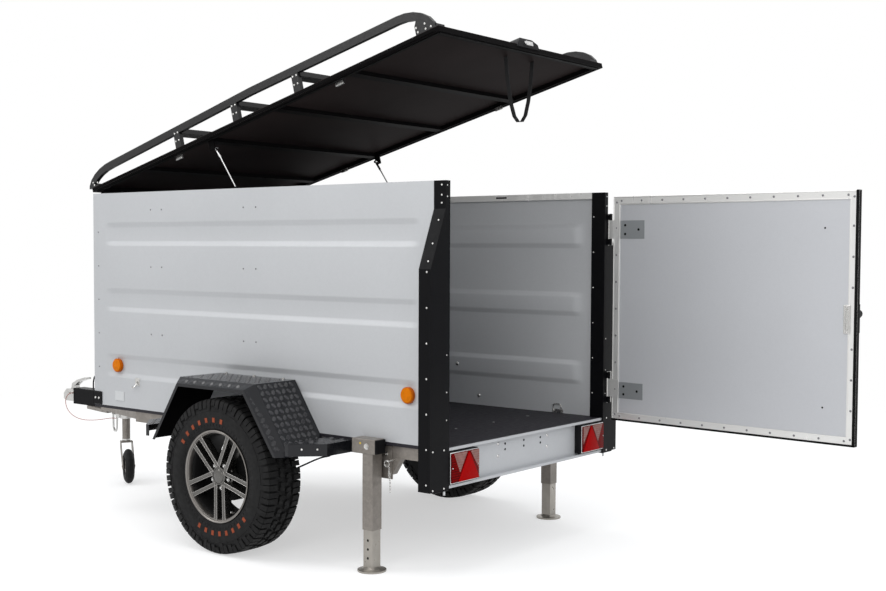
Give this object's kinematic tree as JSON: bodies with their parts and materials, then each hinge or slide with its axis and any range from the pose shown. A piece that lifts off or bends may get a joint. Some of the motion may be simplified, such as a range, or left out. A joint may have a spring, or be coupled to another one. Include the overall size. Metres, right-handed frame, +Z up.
{
  "type": "box trailer",
  "caption": "Single-axle box trailer with off-road wheels, a front-hinged lid on gas struts with a roof rack, a side-hung rear door, prop legs and a jockey wheel, parked open.",
  "frame": {"origin": "on the ground under the middle of the whole part, door and lid open", "axes": "+X towards the coupling, +Y to the trailer's left, +Z up"},
  "size_m": [4.9898, 1.9144, 2.4491],
  "materials": {
    "wall_sheet": "satin galvanised sheet",
    "galvanised": "hot-dip galvanised, dull spangle",
    "zinc": "bright zinc plating",
    "black_steel": "satin black powder coat",
    "black_plastic": "fine-grained black plastic",
    "chequer": "dark chequer plate, satin",
    "floor_board": "dark anti-slip phenolic film",
    "tyre": "matt black rubber",
    "small_tyre": "matt black rubber",
    "alloy": "dark painted with polished edges",
    "lamp_red": "clear red lens over a black base",
    "red_cable": "red plastic-coated wire",
    "black_cable": "matt black cable jacket",
    "webbing": "woven black webbing"
  },
  "bodies": {
    "chassis": {"side_wall_left": "wall_sheet", "side_wall_right": "wall_sheet", "front_wall": "wall_sheet", "top_rail": "wall_sheet", "floor_board": "floor_board", "lid_hinge": "black_steel", "corner_post_left": "black_steel", "corner_post_right": "black_steel", "rear_sill": "wall_sheet", "tail_lamp_left": "lamp_red", "tail_lamp_right": "lamp_red", "floor_frame": "galvanised", "drawbar_arms": "galvanised", "drawbar_beam": "black_steel", "coupling_head": "zinc", "axle_beam": "galvanised", "fender_left": "chequer", "fender_right": "chequer", "step_rear_left": "chequer", "step_front_left": "chequer", "step_rear_right": "chequer", "step_front_right": "chequer", "leg_holder_left": "galvanised", "leg_holder_right": "galvanised", "jockey_clamp": "zinc", "breakaway_cable": "red_cable", "brake_cable_left": "black_cable", "power_lead": "black_cable"},
    "wheel_left": {"tyre_left": "tyre", "rim_left": "alloy"},
    "wheel_right": {"tyre_right": "tyre", "rim_right": "alloy"},
    "door": {"door_frame": "wall_sheet", "door_panel": "wall_sheet", "door_latch": "black_plastic"},
    "lid": {"lid_frame": "black_steel", "lid_skin": "black_steel", "lid_latch": "black_plastic", "roof_rack": "black_steel", "lid_strap": "webbing"},
    "strut_cylinder_left": {"strut_cylinder_left": "black_steel"},
    "strut_rod_left": {"strut_rod_left": "zinc"},
    "strut_cylinder_right": {"strut_cylinder_right": "black_steel"},
    "strut_rod_right": {"strut_rod_right": "zinc"},
    "leg_left": {"leg_foot_left": "galvanised"},
    "leg_right": {"leg_foot_right": "galvanised"},
    "jockey_column": {"jockey_column": "galvanised"},
    "jockey_fork": {"jockey_fork": "galvanised"},
    "jockey_wheel": {"jockey_wheel": "small_tyre"}
  },
  "joints": [
    {"name": "wheel_left_spin", "type": "hinge", "parent": "chassis", "child": "wheel_left", "pos_m": [-0.02536, 0.845, 0.3665], "axis": [0, 1, 0], "continuous": true},
    {"name": "wheel_right_spin", "type": "hinge", "parent": "chassis", "child": "wheel_right", "pos_m": [-0.02536, -0.845, 0.3665], "axis": [0, 1, 0], "continuous": true},
    {"name": "door_swing", "type": "hinge", "parent": "chassis", "child": "door", "pos_m": [-1.17836, -0.668, 1.134], "axis": [0, 0, 1], "range_deg": [-86, 59]},
    {"name": "lid_lift", "type": "hinge", "parent": "chassis", "child": "lid", "pos_m": [1.30114, 0, 1.7295], "axis": [0, 1, 0], "range_deg": [-14.45, 0]},
    {"name": "strut_left_turn", "type": "hinge", "parent": "chassis", "child": "strut_cylinder_left", "pos_m": [0.04064, 0.6, 1.5], "axis": [0, 1, 0], "range_deg": [0, 20.71]},
    {"name": "strut_left_stroke", "type": "slide", "parent": "strut_cylinder_left", "child": "strut_rod_left", "axis": [0.5932, 0, 0.8051], "range_m": [-0.1843, 0]},
    {"name": "strut_right_turn", "type": "hinge", "parent": "chassis", "child": "strut_cylinder_right", "pos_m": [0.04064, -0.6, 1.5], "axis": [0, 1, 0], "range_deg": [0, 20.71]},
    {"name": "strut_right_stroke", "type": "slide", "parent": "strut_cylinder_right", "child": "strut_rod_right", "axis": [0.5932, 0, 0.8051], "range_m": [-0.1843, 0]},
    {"name": "leg_left_slide", "type": "slide", "parent": "chassis", "child": "leg_left", "axis": [0, 0, 1], "range_m": [0, 0.12]},
    {"name": "leg_right_slide", "type": "slide", "parent": "chassis", "child": "leg_right", "axis": [0, 0, 1], "range_m": [0, 0.12]},
    {"name": "jockey_lift", "type": "slide", "parent": "chassis", "child": "jockey_column", "axis": [0, 0, 1], "range_m": [0, 0.075]},
    {"name": "jockey_swivel", "type": "hinge", "parent": "jockey_column", "child": "jockey_fork", "pos_m": [1.82964, 0.05, 0.2], "axis": [0, 0, 1], "continuous": true},
    {"name": "jockey_wheel_spin", "type": "hinge", "parent": "jockey_fork", "child": "jockey_wheel", "pos_m": [1.74304, 0.1, 0.104], "axis": [0.5, 0.866, 0], "continuous": true}
  ],
  "couplings": [
    {"joint": "strut_left_turn", "follows": "lid_lift", "ratio": -1.4288},
    {"joint": "strut_left_stroke", "follows": "lid_lift", "m_per_rad": 0.72945},
    {"joint": "strut_right_turn", "follows": "lid_lift", "ratio": -1.4288},
    {"joint": "strut_right_stroke", "follows": "lid_lift", "m_per_rad": 0.72945}
  ]
}
